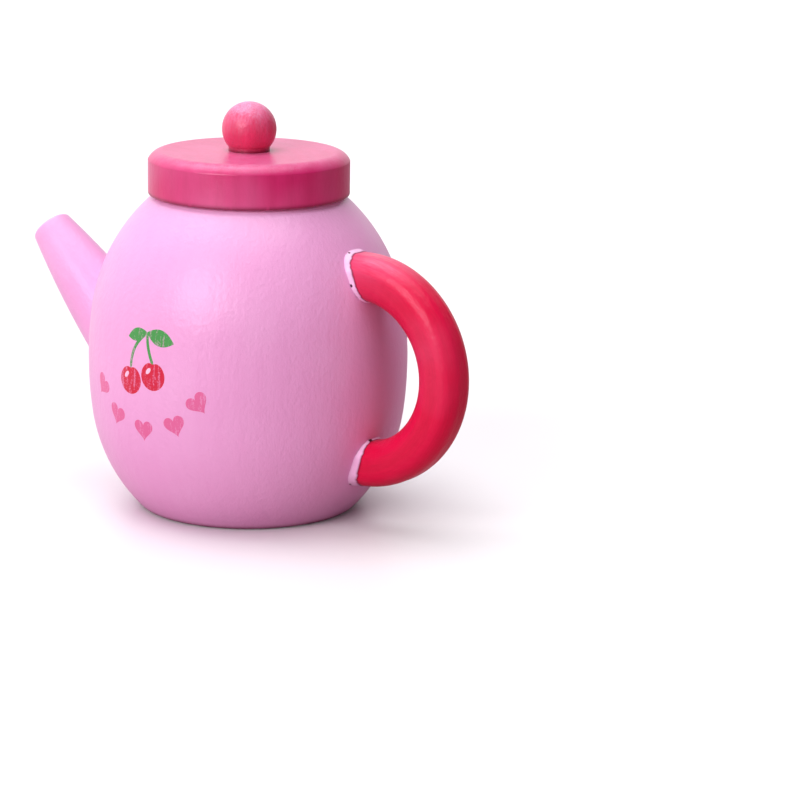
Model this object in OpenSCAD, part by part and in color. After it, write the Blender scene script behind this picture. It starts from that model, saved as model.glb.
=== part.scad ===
// Toy teapot of turned and painted wood, in millimetres.
// Origin: centre of the base, on the pot's own axis. +Z is up, the handle is at +X and the spout at -X.

/* [Pot] */
// Widest diameter of the pot
pot_d = 80; // [74:0.5:100]
// Height of the pot, from its base to its rim
pot_h = 78.8; // [72:0.1:100]
// Height of the widest point above the base
belly_z = 37.2; // [32:0.1:44]
// Diameter of the base, before its edge is rounded
base_d = 54; // [44:0.5:64]
// Radius of the flatter arc round the widest point
belly_arc_r = 99; // [75:1:150]
// Angle that this arc spans, above and below the widest point
belly_arc_angle = 7.3; // [3:0.1:12]
// Rounding of the edge round the base
base_round = 1.5; // [0.5:0.1:4]
// Width of the rim, from the mouth to its outer edge
rim_width = 1.9; // [1.5:0.1:4]
// Rounding of the rim's outer edge
rim_round = 1; // [0.3:0.1:2]
// Chamfer round the mouth
mouth_chamfer = 0.5; // [0.2:0.1:1]
// Thickness of the floor under the bore
pot_floor = 16; // [8:0.5:30]
// Radius in the bottom corner of the bore
bore_round = 4; // [1:0.5:8]

/* [Lid] */
// Diameter of the spigot that drops into the mouth
spigot_d = 42; // [34:0.5:46]
// Height of the spigot
spigot_h = 6.8; // [4:0.1:12]
// Rounding of the spigot's lower edge
spigot_round = 1; // [0.3:0.1:2]
// Gap between the spigot and the mouth, all round
lid_clearance = 0.4; // [0.2:0.05:1]
// How far the lid stands out past the rim
lid_overhang = 1.7; // [0.5:0.1:4]
// Thickness of the lid's disc
lid_t = 10.75; // [7:0.05:16]
// Radius of the arc along the lid's upper edge
lid_edge_r = 3.9; // [2.5:0.1:5]
// Height of that arc, less than its radius, so that it meets the side at a crease
lid_edge_h = 2.25; // [1.5:0.05:2.4]
// Rounding of the lid's lower edge
lid_lower_round = 0.5; // [0.2:0.1:1.5]

/* [Knob] */
// Diameter of the ball
knob_d = 13.5; // [11:0.1:18]
// Diameter of the foot that stands on the lid
knob_foot_d = 10.2; // [8:0.1:10.8]
// Height of the ball's centre above the lid
knob_rise = 5.4; // [4.8:0.1:8]

/* [Handle] */
// Diameter of the ring, along the middle of its section
handle_ring_d = 46.5; // [40:0.5:52]
// Width of the section, across the ring
handle_w = 11.3; // [9:0.1:14]
// Thickness of the section, along the ring's axis
handle_t = 10.9; // [9:0.1:14]
// Radius of the section's soft corners
handle_corner_r = 4.4; // [2:0.1:4.45]
// How far the handle stands out from the belly
handle_reach = 25.2; // [20:0.1:30]
// How far the ring's centre lies below the middle of the pot's height
handle_drop = 0.15; // [-2:0.05:2]

/* [Spout] */
// Angle of the spout above the table
spout_angle = 45; // [38:0.5:50]
// Length of the spout's axis outside the belly
spout_l = 36.6; // [28:0.1:50]
// Diameter where the axis meets the belly
spout_root_d = 20; // [16:0.1:24]
// Diameter at the tip
spout_tip_d = 10.3; // [8:0.1:14]
// How far the sides swell past straight lines
spout_bulge = 0.6; // [0.2:0.1:1.5]
// Rounding of the lip
spout_lip_round = 1.2; // [0.3:0.1:1.6]
// Diameter of the blind hole in the tip
spout_mouth_d = 5.6; // [3:0.1:6]
// Depth of that hole
spout_mouth_depth = 12; // [4:0.5:13]

/* [Joinery] */
// Gap left for glue between the pieces
glue_gap = 0.1; // [0.05:0.05:0.2]
// Chamfer on the ends of the dowels
dowel_chamfer = 0.5; // [0.2:0.1:1]
// Diameter of the spout's dowel
spout_dowel_d = 8; // [5:0.5:10]
// Length of that dowel inside the pot
spout_dowel_in_pot = 11; // [6:0.5:14]
// Length of that dowel inside the spout
spout_dowel_in_spout = 13; // [8:0.5:14]
// Diameter of the handle's dowels
handle_dowel_d = 5; // [3:0.5:6]
// Length of each inside the pot
handle_dowel_in_pot = 9; // [5:0.5:10]
// Length of each inside the handle
handle_dowel_in_handle = 7; // [4:0.5:8]
// Diameter of the knob's dowel
knob_dowel_d = 5; // [3:0.5:6]
// Length of that dowel inside the lid
knob_dowel_in_lid = 7; // [5:0.5:10]
// Length of that dowel inside the knob
knob_dowel_in_knob = 6; // [4:0.5:8]
// Width of the filler collar along the handle
handle_fillet_w = 2.3; // [1:0.1:4]
// Thickness of that collar
handle_fillet_t = 0.6; // [0.3:0.1:1.5]
// Width of the filler collar along the spout
spout_fillet_w = 1.2; // [0.6:0.1:3]
// Thickness of that collar
spout_fillet_t = 0.4; // [0.3:0.1:1]

/* [Hidden] */
$fn = 120;

LILAC = "#f3b4e4";
CRIMSON = "#d81e4a";
ROSE = "#e04f80";
BIRCH = "#dcbf94";

// Sizes that follow from the mouth outwards
mouth_r = spigot_d/2 + lid_clearance;
rim_r = mouth_r + rim_width;
lid_r = rim_r + lid_overhang;
lid_top = pot_h + lid_t;

// The pot's side is three arcs that meet without a crease: heel, belly and shoulder.
// The belly's arc is given, and the other two leave it and end at the base and at the rim.
belly_r = pot_d/2;
belly_c = [belly_r - belly_arc_r, belly_z];
function belly_ray(side) = [cos(belly_arc_angle), side*sin(belly_arc_angle)];
function end_arc_r(side, end) =
    let (chord = belly_c + belly_arc_r*belly_ray(side) - end)
    chord*chord/(2*(belly_ray(side)*chord));
heel_r = end_arc_r(-1, [base_d/2, 0]);
heel_c = belly_c + (belly_arc_r - heel_r)*belly_ray(-1);
shoulder_r = end_arc_r(1, [rim_r, pot_h]);
shoulder_c = belly_c + (belly_arc_r - shoulder_r)*belly_ray(1);

// Radius of the pot's outside at a height
function on_arc(centre, radius, z) = centre.x + sqrt(radius*radius - (z - centre.y)*(z - centre.y));
function pot_radius(z) =
    z < belly_z + belly_arc_r*belly_ray(-1).y ? on_arc(heel_c, heel_r, z) :
    z > belly_z + belly_arc_r*belly_ray(1).y ? on_arc(shoulder_c, shoulder_r, z) :
    on_arc(belly_c, belly_arc_r, z);

// The handle's place, and the heights of its two legs
handle_ring_r = handle_ring_d/2;
handle_x = belly_r + handle_reach - handle_ring_r - handle_w/2;
handle_z = pot_h/2 - handle_drop;
UPPER = 1;
LOWER = -1;
function leg_z(side) = handle_z + side*handle_ring_r;
// Each leg runs on into the pot, past the far edge of its section, before it is cut to the pot's curve
leg_bury = 3;
function leg_l(side) = max(1, handle_x + leg_bury - pot_radius(leg_z(side) + side*handle_w/2));

// The spout's side is one long arc through its root and its tip
spout_chord = [spout_tip_d - spout_root_d, 2*spout_l]/2;
spout_out = [spout_chord.y, -spout_chord.x]/norm(spout_chord);
spout_arc_r = norm(spout_chord)*norm(spout_chord)/(8*spout_bulge) + spout_bulge/2;
spout_c = [spout_root_d/2, 0] + spout_chord/2 - (spout_arc_r - spout_bulge)*spout_out;
// Its root runs on into the pot before it is cut to the pot's curve
spout_bury = 0.9*spout_root_d;

// Room past a face, so that a cut goes right through it
past = 1;
// How far the straight steps along an arc may lie inside it
arc_tolerance = 0.02;

// Points along an arc in the plane of a profile, from one angle to another
function along(angle) = [cos(angle), sin(angle)];
function arc(centre, radius, from, to) =
    let (steps = max(2, ceil(abs(to - from)/(2*acos(1 - arc_tolerance/radius)))))
    [for (i = [0:steps]) centre + radius*along(from + (to - from)*i/steps)];
// The same points without the first, for an arc that goes on from another
function rest(points) = [for (i = [1:len(points) - 1]) points[i]];
// Angle at which a point is seen from an arc's centre
function angle_from(centre, point) = atan2(point.y - centre.y, point.x - centre.x);
// Centre of a rounding inside an arc, where a level line at z cuts the arc.
// side is 1 where the line is the top of the profile and -1 where it is the bottom.
function rounding_c(centre, radius, z, side, rounding) =
    [on_arc(centre, radius - rounding, z - side*rounding), z - side*rounding];

// The pot's side, grown by a distance along its normals, from an angle on the heel to one on the shoulder
function pot_side(grow, heel_from, shoulder_to) = [
    each arc(heel_c, heel_r + grow, heel_from, -belly_arc_angle),
    each rest(arc(belly_c, belly_arc_r + grow, -belly_arc_angle, belly_arc_angle)),
    each rest(arc(shoulder_c, shoulder_r + grow, belly_arc_angle, shoulder_to))
];

// The pot as if it were solid, grown by a distance, for cutting pieces to its curve
module pot_solid(grow) {
    heel_from = asin(-heel_c.y/(heel_r + grow));
    shoulder_to = asin((pot_h - shoulder_c.y)/(shoulder_r + grow));
    rotate_extrude() polygon([[0, 0], each pot_side(grow, heel_from, shoulder_to), [0, pot_h]]);
}

// A round pin with chamfered ends, along +Z from the height low to the height high
module dowel(d, low, high) {
    inset = d/2 - dowel_chamfer;
    rotate_extrude() polygon([[0, low], [inset, low], [d/2, low + dowel_chamfer],
                              [d/2, high - dowel_chamfer], [inset, high], [0, high]]);
}

// The hole for such a pin
module dowel_hole(d, low, high) {
    translate([0, 0, low - glue_gap]) cylinder(h = high - low + 2*glue_gap, d = d + 2*glue_gap);
}

// Places with +Z outwards along the spout, and along a leg of the handle, from the pot's surface
module on_spout() {
    translate([-belly_r, 0, belly_z]) rotate([0, spout_angle - 90, 0]) children();
}

module on_leg(side) {
    translate([pot_radius(leg_z(side)), 0, leg_z(side)]) rotate([0, 90, 0]) children();
}

// Half of the pot: base, side, rim, chamfered mouth, and the bore with a round bottom corner
module pot_outline() {
    base_c = rounding_c(heel_c, heel_r, 0, -1, base_round);
    rim_c = rounding_c(shoulder_c, shoulder_r, pot_h, 1, rim_round);
    heel_from = angle_from(heel_c, base_c);
    shoulder_to = angle_from(shoulder_c, rim_c);
    polygon([
        [0, 0],
        each arc(base_c, base_round, -90, heel_from),
        each rest(pot_side(0, heel_from, shoulder_to)),
        each rest(arc(rim_c, rim_round, shoulder_to, 90)),
        [mouth_r + mouth_chamfer, pot_h],
        [mouth_r, pot_h - mouth_chamfer],
        each arc([mouth_r - bore_round, pot_floor + bore_round], bore_round, 0, -90),
        [0, pot_floor]
    ]);
}

module pot_body() {
    color(LILAC) difference() {
        rotate_extrude() pot_outline();
        on_spout() dowel_hole(spout_dowel_d, -spout_dowel_in_pot, spout_dowel_in_spout);
        for (side = [UPPER, LOWER])
            on_leg(side) dowel_hole(handle_dowel_d, -handle_dowel_in_pot, handle_dowel_in_handle);
    }
}

// The spout before it is cut to the pot, grown by a distance
module spout_blank(grow = 0) {
    side_r = spout_arc_r + grow;
    lip_c = rounding_c(spout_c, side_r, spout_l, 1, spout_lip_round);
    root_angle = asin((-spout_bury - spout_c.y)/side_r);
    lip_angle = angle_from(spout_c, lip_c);
    on_spout() rotate_extrude() polygon([
        [0, -spout_bury],
        each arc(spout_c, side_r, root_angle, lip_angle),
        each rest(arc(lip_c, spout_lip_round, lip_angle, 90)),
        [0, spout_l]
    ]);
}

module spout() {
    color(LILAC) difference() {
        spout_blank();
        pot_solid(glue_gap);
        on_spout() {
            dowel_hole(spout_dowel_d, -spout_dowel_in_pot, spout_dowel_in_spout);
            translate([0, 0, spout_l - spout_mouth_depth]) cylinder(h = spout_mouth_depth + past, d = spout_mouth_d);
        }
    }
}

module spout_dowel() {
    color(BIRCH) on_spout() dowel(spout_dowel_d, -spout_dowel_in_pot, spout_dowel_in_spout);
}

module spout_fillet() {
    color(LILAC) difference() {
        intersection() {
            spout_blank(spout_fillet_t);
            pot_solid(spout_fillet_w);
        }
        spout_blank();
        pot_solid(glue_gap);
    }
}

// The handle's section: a square with soft corners. Its first axis is across the ring.
module handle_section(grow = 0) {
    square([handle_w - 2*handle_corner_r, handle_t + 2*grow], center = true);
    square([handle_w + 2*grow, handle_t - 2*handle_corner_r], center = true);
    for (x = [-1, 1], y = [-1, 1])
        translate([x*(handle_w/2 - handle_corner_r), y*(handle_t/2 - handle_corner_r)])
            circle(handle_corner_r + grow);
}

// A straight leg, from the end of the ring into the pot
module handle_leg(side) {
    translate([handle_x, 0, leg_z(side)]) rotate([0, -90, 0])
        linear_extrude(leg_l(side)) handle_section();
}

module handle_blank() {
    translate([handle_x, 0, handle_z]) rotate([90, 0, 0])
        rotate_extrude(angle = 180, start = -90) translate([handle_ring_r, 0]) handle_section();
    for (side = [UPPER, LOWER]) handle_leg(side);
}

module handle() {
    color(CRIMSON) difference() {
        handle_blank();
        pot_solid(glue_gap);
        for (side = [UPPER, LOWER])
            on_leg(side) dowel_hole(handle_dowel_d, -handle_dowel_in_pot, handle_dowel_in_handle);
    }
}

module handle_dowel(side) {
    color(BIRCH) on_leg(side) dowel(handle_dowel_d, -handle_dowel_in_pot, handle_dowel_in_handle);
}

// The collar of filler round one end of the handle
module handle_fillet(side) {
    color(LILAC) difference() {
        intersection() {
            translate([handle_x + handle_w, 0, leg_z(side)]) rotate([0, -90, 0])
                linear_extrude(leg_l(side) + handle_w) handle_section(handle_fillet_t);
            pot_solid(handle_fillet_w);
        }
        handle_blank();
        pot_solid(glue_gap);
    }
}

// Half of the lid: the spigot, and a disc whose upper edge is an arc that meets the side at a crease
module lid_outline() {
    spigot_r = spigot_d/2;
    spigot_low = pot_h - spigot_h;
    crease = asin(1 - lid_edge_h/lid_edge_r);
    edge_c = [lid_r - lid_edge_r*cos(crease), lid_top - lid_edge_r];
    polygon([
        [0, spigot_low],
        each arc([spigot_r - spigot_round, spigot_low + spigot_round], spigot_round, -90, 0),
        [spigot_r, pot_h],
        each arc([lid_r - lid_lower_round, pot_h + lid_lower_round], lid_lower_round, -90, 0),
        each arc(edge_c, lid_edge_r, crease, 90),
        [0, lid_top]
    ]);
}

module on_lid() {
    translate([0, 0, lid_top]) children();
}

module lid() {
    color(ROSE) difference() {
        rotate_extrude() lid_outline();
        on_lid() dowel_hole(knob_dowel_d, -knob_dowel_in_lid, knob_dowel_in_knob);
    }
}

module knob() {
    color(ROSE) difference() {
        on_lid() rotate_extrude() {
            intersection() {
                translate([0, knob_rise]) circle(d = knob_d);
                square([knob_d, knob_rise + knob_d]);
            }
            square([knob_foot_d/2, knob_rise]);
        }
        on_lid() dowel_hole(knob_dowel_d, -knob_dowel_in_lid, knob_dowel_in_knob);
    }
}

module knob_dowel() {
    color(BIRCH) on_lid() dowel(knob_dowel_d, -knob_dowel_in_lid, knob_dowel_in_knob);
}

pot_body();
spout();
spout_dowel();
spout_fillet();
handle();
handle_dowel(UPPER);  // handle_upper_dowel
handle_dowel(LOWER);  // handle_lower_dowel
handle_fillet(UPPER);  // handle_upper_fillet
handle_fillet(LOWER);  // handle_lower_fillet
lid();
knob();
knob_dowel();
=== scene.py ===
"""Dresses a toy teapot of turned and painted wood, in metres, in the frame of its packed construction."""

import bpy
import numpy as np
from mathutils import Matrix, Vector


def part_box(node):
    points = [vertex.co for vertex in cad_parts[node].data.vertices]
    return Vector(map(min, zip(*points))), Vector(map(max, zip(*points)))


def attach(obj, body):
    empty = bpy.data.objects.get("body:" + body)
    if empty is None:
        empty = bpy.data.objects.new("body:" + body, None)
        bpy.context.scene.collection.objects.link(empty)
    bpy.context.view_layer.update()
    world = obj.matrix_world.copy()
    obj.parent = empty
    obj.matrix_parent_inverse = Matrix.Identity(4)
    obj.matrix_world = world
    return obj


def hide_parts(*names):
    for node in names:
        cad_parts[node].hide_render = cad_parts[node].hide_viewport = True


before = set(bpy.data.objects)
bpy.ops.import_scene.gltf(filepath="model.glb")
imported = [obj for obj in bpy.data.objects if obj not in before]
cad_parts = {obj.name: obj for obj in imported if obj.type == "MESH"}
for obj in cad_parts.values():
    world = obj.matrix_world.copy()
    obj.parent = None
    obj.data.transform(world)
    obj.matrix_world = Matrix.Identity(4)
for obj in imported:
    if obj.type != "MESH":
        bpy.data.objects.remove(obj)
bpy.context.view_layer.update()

# Pot
# One block of pale wood, turned on a lathe to an egg shape and bored straight down from its mouth.
# It is sprayed lilac inside and out, and every other piece is glued to it or sits on it.
pot_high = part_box("pot_body")[1]
# The printed ink stands proud of the pot, so the pot is drawn in by the ink's thickness
ink_t = 0.00004
belly_r = pot_high.y - ink_t
pot_h = pot_high.z
belly_z = 0.0372
base_r = 0.027
belly_arc_r = 0.099
belly_arc_angle = 7.3
base_round = 0.0015
mouth_r = 0.0214
rim_r = 0.0233
rim_round = 0.001
mouth_chamfer = 0.0005
pot_floor = 0.016
bore_round = 0.004
turn_steps = 256
# How far rubbing and the painted shadow under the lid's edge spread from an edge, and how far painted shade
# # spreads up from the pot's foot
wear_and_shade_reach = 0.0006
foot_shade_reach = 0.0011

LILAC = (243, 171, 222)
LILAC_DEEP = (233, 148, 207)
LILAC_PALE = (253, 200, 240)
LILAC_LINE = (142, 44, 92)
SHINE_TINT = (1, 0.80, 0.97, 1)


def arc(centre, radius, start, end, count):
    """Points on an arc: its centre, plus its radius times the cosine and sine of even angles."""
    angle = np.radians(np.linspace(start, end, count))
    return np.asarray(centre) + radius*np.stack([np.cos(angle), np.sin(angle)], axis=1)


def straight(start, end, count):
    """Points on a line between two points, packed towards its ends as half a cosine wave packs them."""
    share = (1 - np.cos(np.linspace(0, np.pi, count)))/2
    return np.asarray(start) + share[:, None]*(np.asarray(end) - np.asarray(start))


def tangent_arc(side, end):
    """Radius and centre of the arc that leaves the belly's arc with no crease and ends at a point: the square
    of the chord over twice its part along the ray on which both centres lie."""
    spread = np.radians(belly_arc_angle)
    ray = np.array([np.cos(spread), side*np.sin(spread)])
    chord = belly_centre + belly_arc_r*ray - end
    radius = chord @ chord/(2*(ray @ chord))
    return radius, belly_centre + (belly_arc_r - radius)*ray


def on_arc(centre, radius, z):
    """Distance from the axis at a height on an arc: its centre's, plus the third side of a right triangle."""
    return centre[0] + np.sqrt(np.maximum(radius**2 - (z - centre[1])**2, 0))


def inner_round(centre, radius, z, side, rounding):
    """Centre of a rounding inside an arc, where the level line at a height cuts the arc, and the angle at
    which that centre lies from the arc's own."""
    middle = np.array([on_arc(centre, radius - rounding, z - side*rounding), z - side*rounding])
    return middle, np.degrees(np.arctan2(*(middle - centre)[::-1]))


belly_centre = np.array([belly_r - belly_arc_r, belly_z])
belly_half_h = belly_arc_r*np.sin(np.radians(belly_arc_angle))
heel_r, heel_centre = tangent_arc(-1, [base_r, 0])
shoulder_r, shoulder_centre = tangent_arc(1, [rim_r, pot_h])


def pot_radius(z):
    """Radius of the pot's outside at a height, from three arcs: the heel below the belly, the belly, and the
    shoulder above it."""
    heel = on_arc(heel_centre, heel_r, z)
    belly = on_arc(belly_centre, belly_arc_r, z)
    shoulder = on_arc(shoulder_centre, shoulder_r, z)
    return np.select([z < belly_z - belly_half_h, z > belly_z + belly_half_h], [heel, shoulder], belly)


def turned(profile):
    """Grid of a lathe surface: each profile point, a radius and a height, carried round Z in even steps."""
    angle = np.linspace(0, 2*np.pi, turn_steps, endpoint=False)
    radius, height = profile[:, :1], profile[:, 1:]
    return np.stack([radius*np.cos(angle), radius*np.sin(angle), height + 0*angle], axis=-1)


def all_round(values):
    """Values on a profile's points, carried round with them."""
    return np.repeat(values[:, None], turn_steps, axis=1)


def bell_share(profile, creases, reach=wear_and_shade_reach):
    """Share of a mark on a profile's points: 1 on the given points, falling off as a bell curve does. It
    gives rubbing on creases, painted shade at the pot's foot, under the lid's edge and round the knob's foot,
    and painted sheen with some wear on the knob's crown.
    """
    gaps = np.linalg.norm(profile[:, None] - np.array(creases)[None], axis=2).min(axis=1)
    return all_round(np.exp(-(gaps/reach)**2))


def flat(grid):
    """A grid's points in one list, with its first and last rows, each shrunk to a point, as single points."""
    return np.concatenate([grid[0, :1], grid[1:-1].reshape(-1, *grid.shape[2:]), grid[-1, :1]])


def add_mesh(name, points, faces, attributes):
    """Smooth mesh object at the origin, sharp where faces meet at a corner, with values on its points."""
    sharp_angle = np.radians(38)
    mesh = bpy.data.meshes.new(name)
    mesh.from_pydata(points.tolist(), [], faces)
    mesh.polygons.foreach_set("use_smooth", np.ones(len(mesh.polygons), bool))
    mesh.set_sharp_from_angle(angle=sharp_angle)
    for label, values in attributes.items():
        kind, field = ("FLOAT", "value") if values.ndim == 1 else ("FLOAT_VECTOR", "vector")
        mesh.attributes.new(label, kind, "POINT").data.foreach_set(field, values.astype(np.float32).ravel())
    piece = bpy.data.objects.new(name, mesh)
    bpy.context.scene.collection.objects.link(piece)
    return piece


def closed_skin(name, grids, **attributes):
    """Closed mesh over grids of points, with rows along the piece and columns round it: quads join each point
    to the next in its row, which closes on itself, and to the next row, and triangles join the end rows to
    single end points."""
    quads, fans, first = [], [], 0
    for grid in grids:
        rows, columns = grid.shape[0] - 2, grid.shape[1]
        here = first + 1 + np.arange(rows*columns).reshape(rows, columns)
        beside = np.roll(here, -1, axis=1)
        last = first + 1 + rows*columns
        quads.append(np.stack([here[:-1], beside[:-1], beside[1:], here[1:]], axis=-1).reshape(-1, 4))
        fans.append(np.stack([np.full(columns, first), beside[0], here[0]], axis=-1))
        fans.append(np.stack([here[-1], beside[-1], np.full(columns, last)], axis=-1))
        first = last + 1
    points = np.concatenate([flat(grid) for grid in grids])
    faces = np.concatenate(quads).tolist() + np.concatenate(fans).tolist()
    values = {label: np.concatenate([flat(part) for part in parts]) for label, parts in attributes.items()}
    return add_mesh(name, points, faces, values)


base_centre, heel_start = inner_round(heel_centre, heel_r, 0, -1, base_round)
rim_centre, shoulder_end = inner_round(shoulder_centre, shoulder_r, pot_h, 1, rim_round)
mouth_top = [mouth_r + mouth_chamfer, pot_h]
mouth_low = [mouth_r, pot_h - mouth_chamfer]
bore_corner = np.array([mouth_r - bore_round, pot_floor + bore_round])
pot_profile = np.concatenate([
    straight([0, 0], [base_centre[0], 0], 12),
    arc(base_centre, base_round, -90, heel_start, 9)[1:],
    arc(heel_centre, heel_r, heel_start, -belly_arc_angle, 48)[1:],
    arc(belly_centre, belly_arc_r, -belly_arc_angle, belly_arc_angle, 40)[1:],
    arc(shoulder_centre, shoulder_r, belly_arc_angle, shoulder_end, 48)[1:],
    arc(rim_centre, rim_round, shoulder_end, 90, 9)[1:],
    straight([rim_centre[0], pot_h], mouth_top, 5)[1:],
    straight(mouth_top, mouth_low, 4)[1:],
    straight(mouth_low, [mouth_r, bore_corner[1]], 40)[1:],
    arc(bore_corner, bore_round, 0, -90, 12)[1:],
    straight([bore_corner[0], pot_floor], [0, pot_floor], 14)[1:],
])
pot_creases = [mouth_top, mouth_low, [rim_centre[0] + rim_round/2, pot_h]]
# Darker at the foot: painted shade where the pot stands on the floor
pot_foot = [[base_centre[0] + base_round/2, 0]]
pot = closed_skin("pot", [turned(pot_profile)],
                  edge=[bell_share(pot_profile, pot_creases)],
                  seam=[bell_share(pot_profile, pot_foot, foot_shade_reach)])


def srgb(colour):
    """Linear colour with full opacity, for a colour given in parts of 255 as it looks on a screen."""
    share = np.array(colour)/255
    linear = np.where(share <= 0.04045, share/12.92, ((share + 0.055)/1.055)**2.4)
    return (*linear.tolist(), 1.0)


def feed(tree, socket, value):
    """Links a node's output to a socket, or sets the socket to a constant."""
    if isinstance(value, bpy.types.NodeSocket):
        tree.links.new(value, socket)
    else:
        socket.default_value = value


def add_node(tree, kind, *values, settings=None, **named):
    """A shader node with its settings, and with its inputs, by place or by name, fed with values."""
    node = tree.nodes.new("ShaderNode" + kind)
    for label, setting in (settings or {}).items():
        setattr(node, label, setting)
    for socket, value in zip(node.inputs, values):
        feed(tree, socket, value)
    for label, value in named.items():
        feed(tree, node.inputs[label.replace("_", " ")], value)
    return node


def calc(tree, operation, *values):
    """Result of a sum on numbers."""
    return add_node(tree, "Math", *values, settings={"operation": operation}).outputs[0]


def plus(tree, first, second):
    """Two numbers added."""
    return calc(tree, "ADD", first, second)


def times(tree, first, second):
    """Two numbers multiplied."""
    return calc(tree, "MULTIPLY", first, second)


def ramp(tree, value, low, high):
    """0 where a value is at its low mark or under it, 1 at its high mark or over it, even between them."""
    return add_node(tree, "MapRange", value, low, high).outputs[0]


def mix(tree, share, first, second):
    """Colour between two colours, which are inputs 6 and 7 of the node, as its output 2."""
    node = add_node(tree, "Mix", share, settings={"data_type": "RGBA"})
    feed(tree, node.inputs[6], first)
    feed(tree, node.inputs[7], second)
    return node.outputs[2]


def stretch(tree, place, along):
    """Coordinates drawn out along their Z, so that a pattern on them runs in long streaks."""
    return add_node(tree, "VectorMath", place, (1, 1, along), settings={"operation": "MULTIPLY"}).outputs[0]


def noise(tree, place, scale, detail=2, roughness=0.5):
    """Cloudy values from 0 to 1 with so many clouds to a metre, and with finer clouds added to them."""
    node = add_node(tree, "TexNoise", Vector=place, Scale=scale, Detail=detail, Roughness=roughness)
    return node.outputs[0]


def painted_wood():
    """Node group of paint over wood. Grain streaks run along the local Z, growth rings lie round a pith line
    beside the piece, the paint has a fine ripple and slow changes of tone, with pale specks and rubbed edges,
    which also give a painted sheen on the tops of the lid, the knob and the handle. A dark line lies along
    seams:
    real at joints and paint edges, and painted shade at the pot's foot, under the lid's edge and round the
    knob's foot."""
    pith_beside = (0.021, 0.034, 0)
    # Shares of the pale tone in clouds, on rubbed edges and in painted sheen, and of the dark line in seams
    # and painted shade
    cloud_share = 0.25
    wear_and_sheen_share = 0.30
    line_and_shade_share = 0.85
    # How much the roughness swings with the grain
    rough_swing = 0.12
    # Heights in millimetres
    grain_h = 0.020
    rings_h = 0.004
    ripple_h = 0.046
    speck_h = 0.006

    tree = bpy.data.node_groups.new("painted_wood", "ShaderNodeTree")
    inputs = {"Place": "Vector", "Paint": "Color", "Deep": "Color", "Pale": "Color", "Line": "Color",
              "Streaks": "Float", "Relief": "Float", "Specks": "Float", "Gloss": "Float",
              "Edge": "Float", "Seam": "Float"}
    for label, kind in inputs.items():
        tree.interface.new_socket(label, in_out="INPUT", socket_type="NodeSocket" + kind)
    for label, kind in {"Colour": "Color", "Roughness": "Float", "Height": "Float"}.items():
        tree.interface.new_socket(label, in_out="OUTPUT", socket_type="NodeSocket" + kind)
    given = tree.nodes.new("NodeGroupInput").outputs
    place = given["Place"]

    fine = noise(tree, stretch(tree, place, 0.10), 2700, roughness=0.6)
    broad = noise(tree, stretch(tree, place, 0.06), 620)
    ripple = noise(tree, stretch(tree, place, 0.8), 850)
    cloud = noise(tree, place, 42)
    pith = add_node(tree, "VectorMath", stretch(tree, place, 0.25), pith_beside).outputs[0]
    rings = add_node(tree, "TexWave", settings={"wave_type": "RINGS", "rings_direction": "Z"}, Vector=pith,
                     Scale=75, Distortion=2.5, Detail=2, Detail_Scale=0.6).outputs["Fac"]
    cells = add_node(tree, "TexVoronoi", Vector=place, Scale=210)
    chance = add_node(tree, "SeparateColor", cells.outputs["Color"]).outputs[0]

    grain = plus(tree, times(tree, fine, 0.6), times(tree, broad, 0.4))
    figure = plus(tree, times(tree, grain, 0.8), times(tree, rings, 0.2))
    dark = times(tree, ramp(tree, figure, 0.38, 0.66), given["Streaks"])
    speck = times(tree, ramp(tree, cells.outputs["Distance"], 0.13, 0.07), ramp(tree, chance, 0.93, 0.94))
    light = times(tree, ramp(tree, cloud, 0.45, 0.75), cloud_share)
    # Pale where rubbed, and painted sheen on the tops of the lid, the knob and the handle
    wear_and_sheen = times(tree, given["Edge"], ramp(tree, grain, 0.2, 0.8))
    # Dark line: real at joints and paint edges, painted shade at the pot's foot, under the lid and round the
    # knob's foot
    line_and_shade = times(tree, given["Seam"], ramp(tree, broad, 0.1, 0.4))

    colour = mix(tree, dark, given["Paint"], given["Deep"])
    colour = mix(tree, light, colour, given["Pale"])
    colour = mix(tree, times(tree, wear_and_sheen, wear_and_sheen_share), colour, given["Pale"])
    colour = mix(tree, times(tree, speck, given["Specks"]), colour, given["Pale"])
    colour = mix(tree, times(tree, line_and_shade, line_and_shade_share), colour, given["Line"])
    rough = plus(tree, given["Gloss"], times(tree, calc(tree, "SUBTRACT", grain, 0.5), rough_swing))
    height = plus(tree, times(tree, grain, grain_h), times(tree, rings, rings_h))
    height = plus(tree, height, times(tree, ripple, ripple_h))
    height = plus(tree, times(tree, height, given["Relief"]), times(tree, speck, speck_h))
    out = tree.nodes.new("NodeGroupOutput")
    for label, value in {"Colour": colour, "Roughness": rough, "Height": height}.items():
        tree.links.new(value, out.inputs[label])
    return tree


wood_effect = painted_wood()


def new_material(name):
    """An empty material, its node tree, and its shader, which feeds the surface."""
    material = bpy.data.materials.new(name)
    material.use_nodes = True
    tree = material.node_tree
    return material, tree, tree.nodes["Principled BSDF"]


def object_place(tree, turn=(0, 0, 0)):
    """The piece's own coordinates, turned so that the wood's grain lies along Z."""
    place = add_node(tree, "TexCoord").outputs["Object"]
    return add_node(tree, "Mapping", Vector=place, Rotation=np.radians(turn)).outputs[0]


def add_relief(tree, shader, height):
    """Feeds a shader's normal from heights in millimetres."""
    millimetre = 0.001
    bump = add_node(tree, "Bump", Distance=millimetre, Height=height)
    tree.links.new(bump.outputs[0], shader.inputs["Normal"])


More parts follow.
